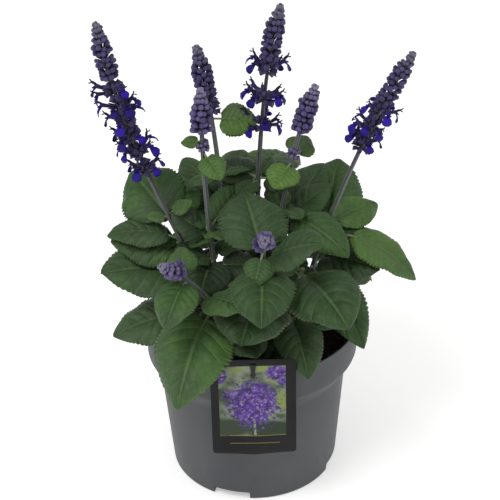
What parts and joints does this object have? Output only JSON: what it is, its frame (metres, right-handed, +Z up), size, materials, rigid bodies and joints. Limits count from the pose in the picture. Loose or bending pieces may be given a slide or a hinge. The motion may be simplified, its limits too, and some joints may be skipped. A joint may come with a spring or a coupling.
{
  "type": "potted flowering sage",
  "caption": "Flowering sage plant with leafy stems and violet flower spikes, growing in a round grey nursery pot of soil with a hang-on plant label.",
  "frame": {"origin": "centre of the pot's flat underside, on the ground", "axes": "+Z up along the pot's axis; -Y towards the front, where the label hangs; +X to the right seen from the front"},
  "size_m": [0.27, 0.2741, 0.4322],
  "materials": {
    "pot_plastic": "matte",
    "potting_soil": "matte",
    "label_card": "satin",
    "hook_plastic": "satin",
    "stem": "matte",
    "calyx": "matte",
    "leaf": "matte"
  },
  "bodies": {
    "root": {"pot": "pot_plastic", "soil": "potting_soil", "label_card": "label_card", "label_hook": "hook_plastic", "flower_stem_1": "stem", "flower_stem_2": "stem", "flower_stem_3": "stem", "flower_stem_4": "stem", "flower_stem_5": "stem", "flower_stem_6": "stem", "flower_stem_7": "stem", "flower_stem_8": "stem", "flower_spike_1": "calyx", "flower_spike_2": "calyx", "flower_spike_3": "calyx", "flower_spike_4": "calyx", "flower_spike_5": "calyx", "flower_spike_6": "calyx", "flower_spike_7": "calyx", "flower_spike_8": "calyx", "leafy_shoot_left": "stem", "leafy_shoot_right": "stem", "leafy_shoot_back": "stem", "leaf_01": "leaf", "leaf_02": "leaf", "leaf_03": "leaf", "leaf_04": "leaf", "leaf_05": "leaf", "leaf_06": "leaf", "leaf_07": "leaf", "leaf_08": "leaf", "leaf_09": "leaf", "leaf_10": "leaf", "leaf_11": "leaf", "leaf_12": "leaf", "leaf_13": "leaf", "leaf_14": "leaf", "leaf_15": "leaf", "leaf_16": "leaf", "leaf_17": "leaf", "leaf_18": "leaf", "leaf_19": "leaf", "leaf_20": "leaf", "leaf_21": "leaf", "leaf_22": "leaf", "leaf_23": "leaf", "leaf_24": "leaf", "leaf_25": "leaf", "leaf_26": "leaf", "leaf_27": "leaf", "leaf_28": "leaf", "leaf_29": "leaf", "leaf_30": "leaf", "leaf_31": "leaf", "leaf_32": "leaf", "leaf_33": "leaf", "leaf_34": "leaf", "leaf_35": "leaf", "leaf_36": "leaf", "leaf_37": "leaf"}
  },
  "joints": []
}
